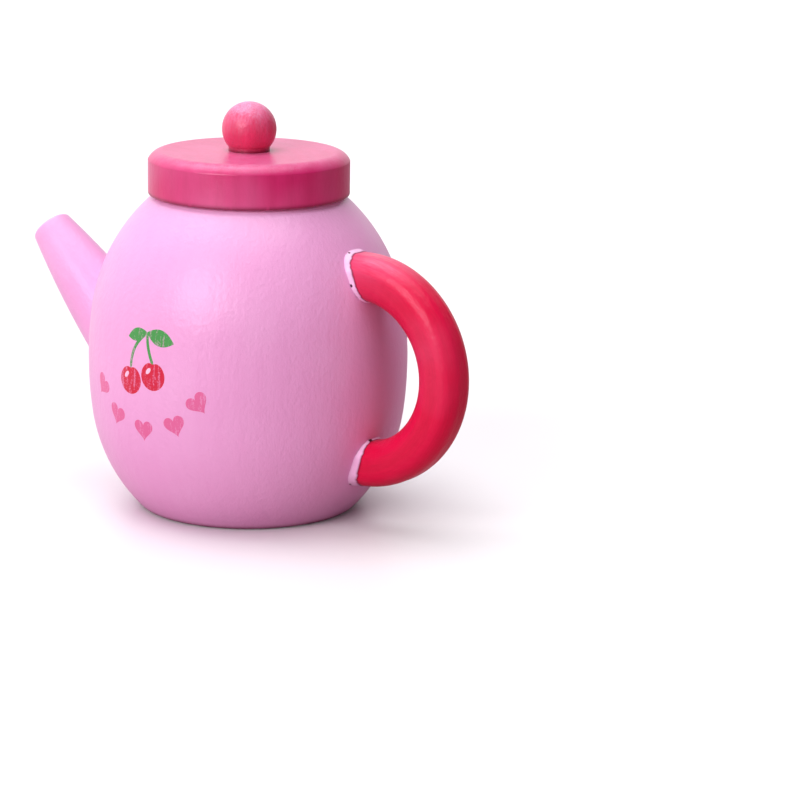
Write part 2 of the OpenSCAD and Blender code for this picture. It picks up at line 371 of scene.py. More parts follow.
def painted(tree, shader, place, paint, deep, pale, line, streaks, relief, specks, gloss, shine):
    """Places the paint's effect in a material and feeds its roughness and relief to the shader. Returns its
    colour."""
    shader.inputs["Specular IOR Level"].default_value = shine
    shader.inputs["Specular Tint"].default_value = SHINE_TINT
    effect = tree.nodes.new("ShaderNodeGroup")
    effect.node_tree = wood_effect
    tree.links.new(place, effect.inputs["Place"])
    for label in ("edge", "seam"):
        share = add_node(tree, "Attribute", settings={"attribute_name": label}).outputs["Fac"]
        tree.links.new(share, effect.inputs[label.title()])
    for label, colour in {"Paint": paint, "Deep": deep, "Pale": pale, "Line": line}.items():
        effect.inputs[label].default_value = srgb(colour)
    for label, value in {"Streaks": streaks, "Relief": relief, "Specks": specks, "Gloss": gloss}.items():
        effect.inputs[label].default_value = value
    add_relief(tree, shader, effect.outputs["Height"])
    tree.links.new(effect.outputs["Roughness"], shader.inputs["Roughness"])
    return effect.outputs["Colour"]


def lilac_paint(name, turn=(0, 0, 0)):
    """Satin lilac paint on a piece whose grain is turned to lie along Z."""
    material, tree, shader = new_material(name)
    colour = painted(tree, shader, object_place(tree, turn), LILAC, LILAC_DEEP, LILAC_PALE, LILAC_LINE,
                     streaks=0.10, relief=2.7, specks=0.25, gloss=0.32, shine=0.5)
    tree.links.new(colour, shader.inputs["Base Color"])
    return material


pot.data.materials.append(lilac_paint("lilac_paint_pot"))
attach(pot, "pot")
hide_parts("pot_body")

# Spout
# A slightly barrelled taper, turned from the same wood and sprayed with the pot. Its root is cut to the
# pot's curve and drilled for a dowel, and its tip has a blind hole with a soft lip.
spout_angle = 45
spout_l = 0.03658
spout_root_r = 0.010
spout_tip_r = 0.00515
spout_bulge = 0.0006
spout_lip_round = 0.0012
spout_mouth_r = 0.0028
spout_mouth_round = 0.0004
spout_mouth_depth = 0.012
spout_bury = 0.018
glue_gap = 0.0001
spout_dowel_r = 0.004
spout_dowel_l = 0.013
spout_steps = 128
spout_side_rows = 60
# The lip is rubbed, and so are the last rows of the side beside it
lip_wear = 0.8
lip_wear_rows = 2

spout_foot = np.array([-belly_r, 0, belly_z])
spout_axis = np.array([-np.cos(np.radians(spout_angle)), 0, np.sin(np.radians(spout_angle))])
spout_across = np.array([0, -1, 0])
spout_above = np.cross(spout_axis, spout_across)
spout_turn = np.linspace(0, 2*np.pi, spout_steps, endpoint=False)

spout_chord = np.array([spout_tip_r - spout_root_r, spout_l])
spout_chord_l = np.linalg.norm(spout_chord)
spout_outwards = np.array([spout_chord[1], -spout_chord[0]])/spout_chord_l
spout_arc_r = spout_chord_l**2/(8*spout_bulge) + spout_bulge/2
spout_centre = np.array([spout_root_r, 0]) + spout_chord/2 - (spout_arc_r - spout_bulge)*spout_outwards


def spout_point(radius, along):
    """Point at a radius from the spout's axis and a distance along it, for each direction round the axis."""
    out = np.cos(spout_turn)[:, None]*spout_above + np.sin(spout_turn)[:, None]*spout_across
    return spout_foot + along[..., None]*spout_axis + radius[..., None]*out


def spout_radius(along):
    """Radius of the spout's side at a distance along its axis, on one long arc through its root and tip."""
    return on_arc(spout_centre, spout_arc_r, along)


def meet_pot(point_at, near, far):
    """Distance along a piece at which it meets the pot, less the glue, for each point round it: halves the
    stretch from a distance inside the pot to one outside it, again and again."""
    halvings = 40
    for _ in range(halvings):
        middle = (near + far)/2
        x, y, z = np.moveaxis(point_at(middle), -1, 0)
        inside = np.hypot(x, y) < pot_radius(z) + glue_gap
        near, far = np.where(inside, middle, near), np.where(inside, far, middle)
    return (near + far)/2


def meet_spout(radius_at):
    """Distance along the spout's axis at which a tube round it, with that radius along it, meets the pot."""
    ends = np.full(spout_steps, -spout_bury), np.full(spout_steps, spout_l/2)
    return meet_pot(lambda along: spout_point(radius_at(along), along), *ends)


def root_ring(radius):
    """Ring of the root's face at a radius, cut to the pot's curve."""
    even = np.full(spout_steps, radius)
    return spout_point(even, meet_spout(lambda along: even))


def level_rings(profile):
    """Rings of the spout at profile points, each a radius and a distance along the axis."""
    return np.stack([spout_point(np.full(spout_steps, r), np.full(spout_steps, s)) for r, s in profile])


lip_centre, lip_start = inner_round(spout_centre, spout_arc_r, spout_l, 1, spout_lip_round)
mouth_edge = [spout_mouth_r + spout_mouth_round, spout_l - spout_mouth_round]
spout_floor = spout_l - spout_mouth_depth
spout_side_end = lip_centre[1] + spout_lip_round*np.sin(np.radians(lip_start))
root_joint = meet_spout(spout_radius)
dowel_hole_r = spout_dowel_r + glue_gap
face_radii = [dowel_hole_r + share*(spout_root_r - dowel_hole_r) for share in (0, 0.3, 0.6, 0.9)]
side_share = (1 - np.cos(np.linspace(0, np.pi/2, spout_side_rows)))[:, None]
side_along = root_joint + side_share*(spout_side_end - root_joint)

spout_root = np.concatenate([
    level_rings([[0, spout_dowel_l], [dowel_hole_r, spout_dowel_l]]),
    np.stack([root_ring(radius) for radius in face_radii]),
])
spout_side = np.stack([spout_point(spout_radius(along), along) for along in side_along])
spout_lip = np.concatenate([
    level_rings(arc(lip_centre, spout_lip_round, lip_start, 90, 10)[1:]),
    level_rings(arc(mouth_edge, spout_mouth_round, 90, 180, 6)),
])
spout_hole = np.concatenate([
    level_rings(straight([spout_mouth_r, mouth_edge[1]], [spout_mouth_r, spout_floor], 14)[1:]),
    level_rings([[0, spout_floor]]),
])
spout_grid = np.concatenate([spout_root, spout_side, spout_lip, spout_hole])
spout_edge = np.zeros(spout_grid.shape[:2])
spout_edge[len(spout_root) + len(spout_side) - lip_wear_rows:-len(spout_hole)] = lip_wear
spout = closed_skin("spout", [spout_grid], edge=[spout_edge])
spout.data.materials.append(lilac_paint("lilac_paint_spout", turn=(0, spout_angle, 0)))
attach(spout, "pot")
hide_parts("spout")

# Handle
# Half a ring of softly squared section with two short legs, shaped from one board and brushed crimson by
# # hand. Each leg is cut to the pot's curve and drilled for a dowel. Its top is paler with a painted
# highlight
# # and some wear from hands.
LOWER, UPPER = -1, 1
handle_low, handle_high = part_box("handle")
handle_w = 0.0113
handle_t = 0.0109
handle_corner_r = 0.0044
handle_ring_r = 0.02325
handle_dowel_r = 0.0025
handle_dowel_l = 0.007
leg_start_x = 0.026
handle_x = handle_high.x - handle_ring_r - handle_w/2
handle_z = (handle_low.z + handle_high.z)/2
leg_l = handle_x - leg_start_x
ring_l = np.pi*handle_ring_r
handle_steps = 160
handle_rows = 220
handle_line_w = 0.0005
handle_wear_and_sheen_h = 0.52*handle_w
handle_wear_and_sheen = 2.6
# The crimson stops short of the pot by a filler collar's width: outside the loop, inside it and in front
collar_outside_w = {LOWER: 0.0025, UPPER: 0.0015}
collar_inside_w = 0.0005
collar_front_w = {LOWER: 0.0019, UPPER: 0.0013}
collar_ragged = 0.00011

CRIMSON = (229, 8, 67)
CRIMSON_DEEP = (206, 6, 54)
CRIMSON_PALE = (252, 120, 168)
CRIMSON_LINE = (120, 14, 48)

handle_turn = np.linspace(0, 2*np.pi, handle_steps, endpoint=False) + np.pi/handle_steps
handle_out = np.stack([np.cos(handle_turn), np.sin(handle_turn)], axis=1)
# The section's outline: a circle for its corners, moved out to the corner of the inner box in each quarter
# turn. Its first axis is across the ring, outwards, and its second is along Y.
section_spread = np.array([handle_w/2, handle_t/2]) - handle_corner_r
handle_section = np.sign(handle_out)*section_spread + handle_corner_r*handle_out


def handle_point(section, along):
    """Point of a section carried along the handle's middle line: a straight leg, half a ring, a straight leg.
    The line's angle turns with the distance along the ring and stops at its ends, from where it runs on
    along X."""
    angle = np.clip((along - leg_l)/handle_ring_r, 0, np.pi) - np.pi/2
    overrun = np.maximum(leg_l - along, 0) + np.maximum(along - leg_l - ring_l, 0)
    across = handle_ring_r + section[..., 0]
    return np.stack([handle_x + across*np.cos(angle) - overrun,
                     section[..., 1] + 0*along,
                     handle_z + across*np.sin(angle)], axis=-1)


def meet_handle(side, section):
    """Distance along the handle at which a section's points meet the pot, at its lower or its upper end."""
    middle = np.full(handle_steps, leg_l + ring_l/2)
    end = np.full(handle_steps, 0.0 if side == LOWER else 2*leg_l + ring_l)
    quarter = side*ring_l/4
    return meet_pot(lambda along: handle_point(section, along), end, middle + quarter)


def handle_end(side):
    """Rows from the bottom of a leg's dowel hole, along it and out over the face that is cut to the pot."""
    leg_z = handle_z + side*handle_ring_r
    hole = (handle_dowel_r + glue_gap)*handle_out
    bottom_x = pot_radius(leg_z) + handle_dowel_l
    floor = np.stack([np.full(handle_steps, bottom_x), hole[:, 1], leg_z + side*hole[:, 0]], axis=1)
    rows = [floor*[1, 0, 0] + [0, 0, leg_z], floor]
    for share in (0, 0.35, 0.7):
        section = (1 - share)*hole + share*handle_section
        rows.append(handle_point(section, meet_handle(side, section)))
    return np.stack(rows)


def collar_width(side):
    """Width of a filler collar round the handle: its width outside the loop or inside it, mixed with that
    at the front by the sine of the angle round the leg, with a ragged brushed edge from three waves."""
    sideways = np.abs(np.sin(handle_turn))
    across_loop = np.where(np.cos(handle_turn) > 0, collar_outside_w[side], collar_inside_w)
    even = across_loop*(1 - sideways) + collar_front_w[side]*sideways
    waves = [(1, 9, 1.3), (0.7, 17, side), (0.45, 29, 2.1*side)]
    return even + collar_ragged*sum(size*np.sin(count*handle_turn + start) for size, count, start in waves)


lower_joint = meet_handle(LOWER, handle_section)
upper_joint = meet_handle(UPPER, handle_section)
handle_share = (1 - np.cos(np.linspace(0, np.pi, handle_rows)))[:, None]/2
handle_along = lower_joint + handle_share*(upper_joint - lower_joint)
handle_side = np.stack([handle_point(handle_section, along) for along in handle_along])
lower_end, upper_end = handle_end(LOWER), handle_end(UPPER)
handle_grid = np.concatenate([lower_end, handle_side, upper_end[::-1]])

# The paint's streaks follow the handle as if it were a straight rod
lower_paint = lower_joint + collar_width(LOWER)
upper_paint = upper_joint - collar_width(UPPER)
from_collar = np.minimum(handle_along - lower_paint, upper_paint - handle_along)
paint_edge = np.clip(1 - from_collar/handle_line_w, 0, 1)
as_rod = np.stack([np.broadcast_to(handle_section[:, 0], handle_along.shape),
                   np.broadcast_to(handle_section[:, 1], handle_along.shape), handle_along], axis=-1)
end_rows = (len(lower_end), len(upper_end))
handle_rod = np.pad(as_rod, (end_rows, (0, 0), (0, 0)), mode="edge")
handle_seam = np.pad(paint_edge, (end_rows, (0, 0)), mode="edge")
# Paler towards the top: a painted highlight, with some wear from hands
handle_worn_and_lit = np.clip((handle_grid[..., 2] - handle_high.z)/handle_wear_and_sheen_h + 1, 0, 1)
handle = closed_skin("handle", [handle_grid], rod=[handle_rod], seam=[handle_seam],
                     edge=[handle_wear_and_sheen*handle_worn_and_lit])


def crimson_paint():
    """Crimson paint brushed along the handle, with a thin dark line at its edge on the collars."""
    material, tree, shader = new_material("crimson_paint_handle")
    place = add_node(tree, "Attribute", settings={"attribute_name": "rod"}).outputs["Vector"]
    colour = painted(tree, shader, place, CRIMSON, CRIMSON_DEEP, CRIMSON_PALE, CRIMSON_LINE,
                     streaks=0.55, relief=2.4, specks=0.35, gloss=0.31, shine=0.32)
    tree.links.new(colour, shader.inputs["Base Color"])
    return material


handle.data.materials.append(crimson_paint())
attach(handle, "pot")
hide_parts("handle")

# Filler collars
# Filler pressed into the joints round the handle's ends and the spout's root, smoothed with a finger and
# sprayed with the pot, before the crimson was brushed up to it. A few pinholes are left in it.
handle_collar_t = 0.00045
spout_collar_w = 0.0012
spout_collar_t = 0.0004
collar_sink = 0.00015
collar_lip_t = 0.00009
collar_swell = 0.00012
cove_rows = 9
rows_before_cove = 2
# Each pinhole's leg, angle round the leg, distance up from the pot and radius
pinholes = [
    (UPPER, -20, 0.0004, 0.0004),
    (UPPER, -95, 0.0, 0.0005),
    (LOWER, -177, 0.0003, 0.0008),
    (LOWER, -38, 0.0001, 0.0004),
]
pinhole_out = 0.0004

FILLER_PALE = (254, 222, 246)
PINHOLE = (74, 16, 44)


def ring_skin(name, grid, seam, order):
    """Closed mesh over a grid of points whose rows and columns both close on themselves, as on a ring.
    Order -1 takes the rows backwards, so that the faces point outwards."""
    grid, seam = grid[::order], seam[::order]
    rows, columns = grid.shape[:2]
    here = np.arange(rows*columns).reshape(rows, columns)
    beside, above = np.roll(here, -1, axis=1), np.roll(here, -1, axis=0)
    quads = np.stack([here, beside, np.roll(above, -1, axis=1), above], axis=-1).reshape(-1, 4)
    return add_mesh(name, grid.reshape(-1, 3), quads.tolist(), {"seam": seam.ravel()})


def cove(width, thickness):
    """Profile of a collar as distances out from the piece and up from the pot: sunk under the pot, out along
    it, a hollow curve up to a thin lip on the piece, and back under the piece's own surface. On the curve the
    distance out falls as a square, with a slight swell, and the distance up grows as a power of 1.5."""
    share = np.linspace(0, 1, cove_rows)[:, None]
    even = np.ones_like(width)
    out = (thickness*(1 - share)**2 + collar_lip_t + collar_swell*np.sin(np.pi*share))*even
    out = np.concatenate([[thickness*even], out])
    up = np.concatenate([[-collar_sink*even], width*share**1.5])
    inner = -collar_sink*even
    return np.concatenate([[inner], out, [inner]]), np.concatenate([[inner], up, [width]])


def handle_collar(side):
    """Grid of a collar round a leg: at each row the section is grown by the distance out, and stands off the
    pot, along the handle, by the distance up."""
    rows = []
    for out, up in zip(*cove(collar_width(side), handle_collar_t)):
        section = handle_section + out[:, None]*handle_out
        rows.append(handle_point(section, meet_handle(side, section) - side*up))
    return np.stack(rows)


def spout_collar():
    """Grid of the collar round the spout's root, made in the same way on the spout's round section. Two waves
    make its width uneven."""
    rows = []
    width = spout_collar_w + 0.0001*np.sin(7*spout_turn) + 0.00006*np.sin(13*spout_turn + 1)
    for out, up in zip(*cove(width, spout_collar_t)):
        along = meet_spout(lambda s, out=out: spout_radius(s) + out) + up
        rows.append(spout_point(spout_radius(along) + out, along))
    return np.stack(rows)


def collar_seam(grid):
    """Share of dark line on a collar's rows: strong at the edge on the piece, and broken, by two waves round
    it, at the edge on the pot. Both fall off along the cove as bell curves do."""
    share = np.clip((np.arange(len(grid)) - rows_before_cove)/(cove_rows - 1), 0, 1)[:, None]
    turn = np.linspace(0, 2*np.pi, grid.shape[1], endpoint=False)
    broken = np.clip(np.sin(3*turn + 2) + 0.5*np.sin(11*turn), 0, 1)
    return np.exp(-((1 - share)/0.10)**2) + 0.8*broken*np.exp(-(share/0.12)**2)


def pinhole(side, turn, up):
    """Place of a pinhole on a leg's collar, at an angle round the leg and a distance up from the pot."""
    column = round(turn % 360/360*handle_steps) % handle_steps
    section = handle_section + pinhole_out*handle_out
    return handle_point(section, meet_handle(side, section) - side*up)[column]


def lilac_filler():
    """Lilac paint on smoothed filler, brighter than on wood, with a dark spot within a small distance of each
    pinhole."""
    material, tree, shader = new_material("lilac_filler_collars")
    place = object_place(tree)
    colour = painted(tree, shader, place, LILAC_PALE, LILAC, FILLER_PALE, LILAC_LINE,
                     streaks=0.4, relief=2.5, specks=0, gloss=0.3, shine=0.5)
    for side, turn, up, radius in pinholes:
        middle = pinhole(side, turn, up)
        reach = add_node(tree, "VectorMath", place, middle, settings={"operation": "DISTANCE"})
        dark = ramp(tree, reach.outputs["Value"], radius, 0.6*radius)
        colour = mix(tree, dark, colour, srgb(PINHOLE))
    tree.links.new(colour, shader.inputs["Base Color"])
    return material


filler = lilac_filler()
# Each collar's grid, and the order of its rows
collars = {
    "handle_upper_fillet": (handle_collar(UPPER), 1),
    "handle_lower_fillet": (handle_collar(LOWER), -1),
    "spout_fillet": (spout_collar(), 1),
}
for node, (grid, order) in collars.items():
    collar = ring_skin(node.replace("fillet", "collar"), grid, collar_seam(grid), order)
    collar.data.materials.append(filler)
    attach(collar, "pot")
    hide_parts(node)

# Print
# A pair of cherries over a swag of small hearts, printed on the pot's front in four inks, one after another.
# Each ink is a thin film that thins out to nothing at its edge.
print_angle = -92
print_z = 0.0405
ink_steps = 72
film_top_rings = 10
film_back_rings = 4
# Height of the first film, and what each layer over it adds, as shares of the ink's thickness
film_lift = 0.7
layer_lift = 0.15

cherry_places = [(-0.0037, -0.0026), (0.0034, -0.0008)]
cherry_r = 0.0035
cherry_dip = 0.13
cherry_dip_angle = 0.30
fork = (0.0012, 0.0096)
stem_bows = (-0.0014, -0.0004)
stem_half_w = 0.00042
stem_lift = 0.8
stem_point = 4
stem_rows = 24
stem_steps = 12
# Each leaf's length, width, turn and place from the fork
leaf_shapes = [
    (0.0082, 0.0040, -14, (0.0040, -0.0009)),
    (0.0064, 0.0032, 196, (-0.0031, -0.0008)),
]
shine_l = 0.0022
shine_w = 0.0012
shine_turn = 50
shine_place = (-0.0013, 0.0012)
heart_w = 0.0058
heart_tilt = 0.55
swag_r = 0.0168
swag_flatness = 0.8
swag_drop = -0.0010
swag_angles = np.linspace(-158, -22, 5)

INK_RED = (214, 12, 58)
INK_GREEN = (70, 156, 76)
INK_PINK = (232, 104, 160)
INK_PALE = (252, 206, 234)

ink_turn = np.linspace(0, 2*np.pi, ink_steps, endpoint=False)


def on_pot(flat_points, lift):
    """Places points of a flat drawing on the pot: across becomes an angle round it, up a height, and lift a
    distance out."""
    across, up = np.moveaxis(flat_points, -1, 0)
    z = print_z + up
    angle = np.radians(print_angle) + across/belly_r
    radius = pot_radius(z) + lift
    return np.stack([radius*np.cos(angle), radius*np.sin(angle), z], axis=-1)


def ink_film(outline, centre, layer):
    """Grid of a film of ink over an outline: rings of the outline shrunk towards its centre, from the middle
    of its top to its edge, and back under the paint to the middle of its bottom."""
    share = np.concatenate([np.linspace(0, 1, film_top_rings), np.linspace(1, 0, film_back_rings)[1:]])
    top = np.arange(len(share)) < film_top_rings
    lift = np.where(top, ink_t*(film_lift + layer_lift*layer)*(1 - share**8), -ink_t)
    rings = np.asarray(centre) + share[:, None, None]*outline
    return on_pot(rings, lift[:, None])


def turned_by(points, degrees):
    """Flat points turned about their own middle."""
    cosine, sine = np.cos(np.radians(degrees)), np.sin(np.radians(degrees))
    return points @ np.array([[cosine, sine], [-sine, cosine]])


def oval(length, width):
    """An ellipse: a cosine along it and a sine across it."""
    return np.stack([length/2*np.cos(ink_turn), width/2*np.sin(ink_turn)], axis=1)


def cherry():
    """A circle with a shallow dip, a bell curve, at the top of its outline."""
    dip = 1 - cherry_dip*np.exp(-((ink_turn - np.pi/2)/cherry_dip_angle)**2)
    return dip[:, None]*oval(2*cherry_r, 2*cherry_r)


def heart():
    """The heart curve: the cube of a sine across, and up the sum of four cosines, scaled to its width."""
    across = 16*np.sin(ink_turn)**3
    up = 13*np.cos(ink_turn) - 5*np.cos(2*ink_turn) - 2*np.cos(3*ink_turn) - np.cos(4*ink_turn)
    return heart_w/32*np.stack([-across, up], axis=1)


def leaf(length, width):
    """A leaf pointed at both ends: a cosine along it, and a sine times its own size across it."""
    return oval(length, width)*np.stack([np.ones(ink_steps), np.abs(np.sin(ink_turn))], axis=1)


def stem(start, end, bow):
    """Grid of a stem: a flat lens of ink carried along a line bowed by a sine, which thins to a point at each
    end."""
    share = np.linspace(0, 1, stem_rows)[:, None]
    start, end = np.array(start), np.array(end)
    beside = np.array([end[1] - start[1], start[0] - end[0]])/np.linalg.norm(end - start)
    middle = start + share*(end - start) + bow*np.sin(np.pi*share)*beside
    taper = np.minimum(1, stem_point*np.sin(np.pi*share))
    around = np.linspace(0, 2*np.pi, stem_steps, endpoint=False)
    drawn = middle[:, None] + (stem_half_w*taper*np.cos(around))[..., None]*beside
    return on_pot(drawn, stem_lift*ink_t*taper*np.sin(around))


swag_turn = np.radians(swag_angles)
swag_places = np.stack([swag_r*np.cos(swag_turn), swag_drop + swag_flatness*swag_r*np.sin(swag_turn)], axis=1)
swag_tilts = heart_tilt*(swag_angles + 90)
stem_starts = [np.add(place, (0, 0.8*cherry_r)) for place in cherry_places]
shine = turned_by(oval(shine_l, shine_w), shine_turn)

cherries = [ink_film(cherry(), place, 0) for place in cherry_places]
stems = [stem(start, fork, bow) for start, bow in zip(stem_starts, stem_bows)]
leaves = [ink_film(turned_by(leaf(length, width), turn), np.add(fork, place), 1)
          for length, width, turn, place in leaf_shapes]
hearts = [ink_film(turned_by(heart(), tilt), place, 0) for place, tilt in zip(swag_places, swag_tilts)]
shines = [ink_film(shine, np.add(place, shine_place), 2) for place in cherry_places]
films = {
    "print_red": (INK_RED, cherries),
    "print_green": (INK_GREEN, stems + leaves),
    "print_pink": (INK_PINK, hearts),
    "print_pale": (INK_PALE, shines),
}


def ink(name, colour):
    """Printing ink, thin in streaks along the grain, where the paint shows, and glossier than the paint."""
    thinnest = 0.45
    material, tree, shader = new_material(name)
    place = object_place(tree)
    streak = noise(tree, stretch(tree, place, 0.12), 1500, detail=3)
    dots = noise(tree, place, 2600, detail=1)
    thin = ramp(tree, plus(tree, streak, times(tree, dots, 0.5)), 0.78, 0.95)
    seen = mix(tree, times(tree, thin, thinnest), srgb(colour), srgb(LILAC))
    tree.links.new(seen, shader.inputs["Base Color"])
    tree.links.new(plus(tree, times(tree, streak, 0.2), 0.24), shader.inputs["Roughness"])
    add_relief(tree, shader, times(tree, streak, 0.03))
    return material


for name, (colour, grids) in films.items():
    film = closed_skin(name, grids)
    film.data.materials.append(ink("ink_" + name, colour))
    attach(film, "pot")

# Lid
# A thick disc and the spigot under it, one turning, sprayed rose. The upper edge is rounded over and meets
# # the side at a crease. Its top is paler with a painted sheen and some wear from hands, and a painted shadow
# # darkens its lower edge. It lies loose on the rim and is drilled for the knob's dowel.
lid_low, lid_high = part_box("lid")
lid_r = lid_high.y
lid_top = lid_high.z
spigot_r = 0.021
spigot_round = 0.001
lid_edge_r = 0.0039
lid_edge_h = 0.00225
lid_lower_round = 0.0005
lid_wear_and_sheen = 1.6
knob_dowel_r = 0.0025
knob_dowel_in_lid = 0.007

ROSE = (213, 40, 110)
ROSE_DEEP = (196, 30, 94)
ROSE_PALE = (248, 162, 214)
# Painted shade under the lid's edge and round the knob's foot
ROSE_SHADE = (112, 6, 42)

crease_angle = np.degrees(np.arcsin(1 - lid_edge_h/lid_edge_r))
lid_edge_centre = [lid_r - lid_edge_r*np.cos(np.radians(crease_angle)), lid_top - lid_edge_r]
lid_crease = [lid_r, lid_top - lid_edge_h]
lid_hole_r = knob_dowel_r + glue_gap
lid_hole_floor = lid_top - knob_dowel_in_lid
lid_profile = np.concatenate([
    straight([0, lid_low.z], [spigot_r - spigot_round, lid_low.z], 16),
    arc([spigot_r - spigot_round, lid_low.z + spigot_round], spigot_round, -90, 0, 8)[1:],
    straight([spigot_r, lid_low.z + spigot_round], [spigot_r, pot_h], 12)[1:],
    straight([spigot_r, pot_h], [lid_r - lid_lower_round, pot_h], 6)[1:],
    arc([lid_r - lid_lower_round, pot_h + lid_lower_round], lid_lower_round, -90, 0, 7)[1:],
    straight([lid_r, pot_h + lid_lower_round], lid_crease, 24)[1:],
    arc(lid_edge_centre, lid_edge_r, crease_angle, 90, 16)[1:],
    straight([lid_edge_centre[0], lid_top], [lid_hole_r, lid_top], 24)[1:],
    straight([lid_hole_r, lid_top], [lid_hole_r, lid_hole_floor], 4)[1:],
    [[0, lid_hole_floor]],
])
# Paler over the top: painted sheen, with some wear from hands
lid_worn_and_lit = all_round(np.clip((lid_profile[:, 1] - lid_crease[1])/lid_edge_h, 0, 1))
# Darker along the lower edge: painted shadow where the lid overhangs the rim
lid_lower_edge = [[lid_r - lid_lower_round/2, pot_h + lid_lower_round/2]]
lid = closed_skin("lid", [turned(lid_profile)],
                  edge=[lid_wear_and_sheen*lid_worn_and_lit],
                  seam=[bell_share(lid_profile, lid_lower_edge)])


def rose_paint(name, paint, deep, pale, streaks, relief, gloss, shine):
    """Glossy rose paint over upright grain."""
    material, tree, shader = new_material(name)
    colour = painted(tree, shader, object_place(tree), paint, deep, pale, ROSE_SHADE,
                     streaks=streaks, relief=relief, specks=0.5, gloss=gloss, shine=shine)
    tree.links.new(colour, shader.inputs["Base Color"])
    return material


lid.data.materials.append(rose_paint("rose_paint_lid", ROSE, ROSE_DEEP, ROSE_PALE,
                                     streaks=0.45, relief=1.1, gloss=0.31, shine=0.55))
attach(lid, "lid")
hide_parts("lid")

# Knob
# A wooden ball on a short foot, turned like a bead and painted a redder rose than the lid. It is glued to the
# # lid with a dowel. Its crown is paler with a painted sheen and some wear from fingers, and painted shade
# # darkens its foot.
knob_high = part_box("knob")[1]
knob_r = knob_high.y
knob_z = knob_high.z - knob_r
knob_foot_r = 0.0051
knob_dowel_in_knob = 0.006
knob_wear_and_sheen = 4.6
knob_wear_and_sheen_reach = 0.95*knob_r
knob_shade_reach = 0.0009

KNOB_ROSE = (226, 20, 82)
KNOB_DEEP = (204, 14, 66)
KNOB_PALE = (254, 174, 222)

neck_angle = -np.degrees(np.arccos(knob_foot_r/knob_r))
neck_z = knob_z + knob_r*np.sin(np.radians(neck_angle))
knob_hole_top = lid_top + knob_dowel_in_knob
knob_profile = np.concatenate([
    [[0, knob_hole_top]],
    straight([lid_hole_r, knob_hole_top], [lid_hole_r, lid_top], 4),
    straight([lid_hole_r, lid_top], [knob_foot_r, lid_top], 6)[1:],
    straight([knob_foot_r, lid_top], [knob_foot_r, neck_z], 4)[1:],
    arc([0, knob_z], knob_r, neck_angle, 90, 72)[1:],
])
# Paler round the crown: painted sheen with some wear from fingers. Darker at the foot: painted shade where it
# meets the lid
knob_crown = [[0, knob_high.z]]
knob_joint = [[knob_foot_r, lid_top]]
knob = closed_skin("knob", [turned(knob_profile)],
                   edge=[knob_wear_and_sheen*bell_share(knob_profile, knob_crown, knob_wear_and_sheen_reach)],
                   seam=[bell_share(knob_profile, knob_joint, knob_shade_reach)])
knob.data.materials.append(rose_paint("rose_paint_knob", KNOB_ROSE, KNOB_DEEP, KNOB_PALE,
                                      streaks=0.7, relief=4.0, gloss=0.36, shine=0.6))
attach(knob, "lid")
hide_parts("knob")

# Dowels
# Four plain birch pins, glued into drilled holes, that hold the spout, the handle and the knob.
# They are hidden when the toy is whole, and their solids are kept as they are.
BIRCH = (222, 192, 148)
BIRCH_DEEP = (196, 158, 110)
# How each pin's grain is turned to lie along Z
dowel_turns = {
    "spout_dowel": (0, spout_angle, 0),
    "handle_upper_dowel": (0, -90, 0),
    "handle_lower_dowel": (0, -90, 0),
    "knob_dowel": (0, 0, 0),
}


def bare_birch(name, turn):
    """Bare wood with fine darker streaks along the pin and a matt surface."""
    material, tree, shader = new_material(name)
    place = object_place(tree, turn)
    streak = noise(tree, stretch(tree, place, 0.06), 1600, detail=4)
    colour = mix(tree, ramp(tree, streak, 0.4, 0.7), srgb(BIRCH), srgb(BIRCH_DEEP))
    tree.links.new(colour, shader.inputs["Base Color"])
    tree.links.new(plus(tree, times(tree, streak, 0.3), 0.5), shader.inputs["Roughness"])
    add_relief(tree, shader, times(tree, streak, 0.06))
    return material


for node, turn in dowel_turns.items():
    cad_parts[node].data.materials.clear()
    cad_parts[node].data.materials.append(bare_birch("birch_" + node, turn))

# Floor
# A wide white studio sweep that looks white to the camera and keeps the pot's shadow and a soft reflection.
# Light and gloss find it bright on the left and dim on the right. From below it can be seen through, and it
# lets light up to the middle of the pot's base.
floor_half = 6.0
floor_z = -0.00015
floor_hole_r = 0.0256
floor_rough = 0.4
floor_gleam = 0.35
left_azimuth = -60
# Distances from the pot towards the left at which the floor is dim and at which it is bright
floor_dim_at = -0.12
floor_bright_at = 0.2
FLOOR_SEEN = (0.92, 0.90, 0.93, 1)
FLOOR_BRIGHT = (0.70, 0.58, 0.64, 1)
FLOOR_DIM = (0.36, 0.17, 0.22, 1)


def towards(azimuth, elevation):
    """Direction from the pot to a lamp or a wall. Azimuth 0 is at -Y, and 90 at +X."""
    a, e = np.radians([azimuth, elevation])
    return Vector((np.sin(a)*np.cos(e), -np.cos(a)*np.cos(e), np.sin(e)))


def bright_side(tree, place, azimuth, low, high):
    """0 on the studio's dim side and 1 on its bright side, by how far a place or direction lies that way."""
    facing = add_node(tree, "VectorMath", place, towards(azimuth, 0), settings={"operation": "DOT_PRODUCT"})
    return ramp(tree, facing.outputs["Value"], low, high)


def seen_white(tree, bright):
    """1 for rays from the camera or through glass, and for rays off gloss where the studio is bright."""
    path = add_node(tree, "LightPath").outputs
    seen = calc(tree, "MAXIMUM", path["Is Camera Ray"], times(tree, path["Is Glossy Ray"], bright))
    return calc(tree, "MAXIMUM", seen, path["Is Transmission Ray"])


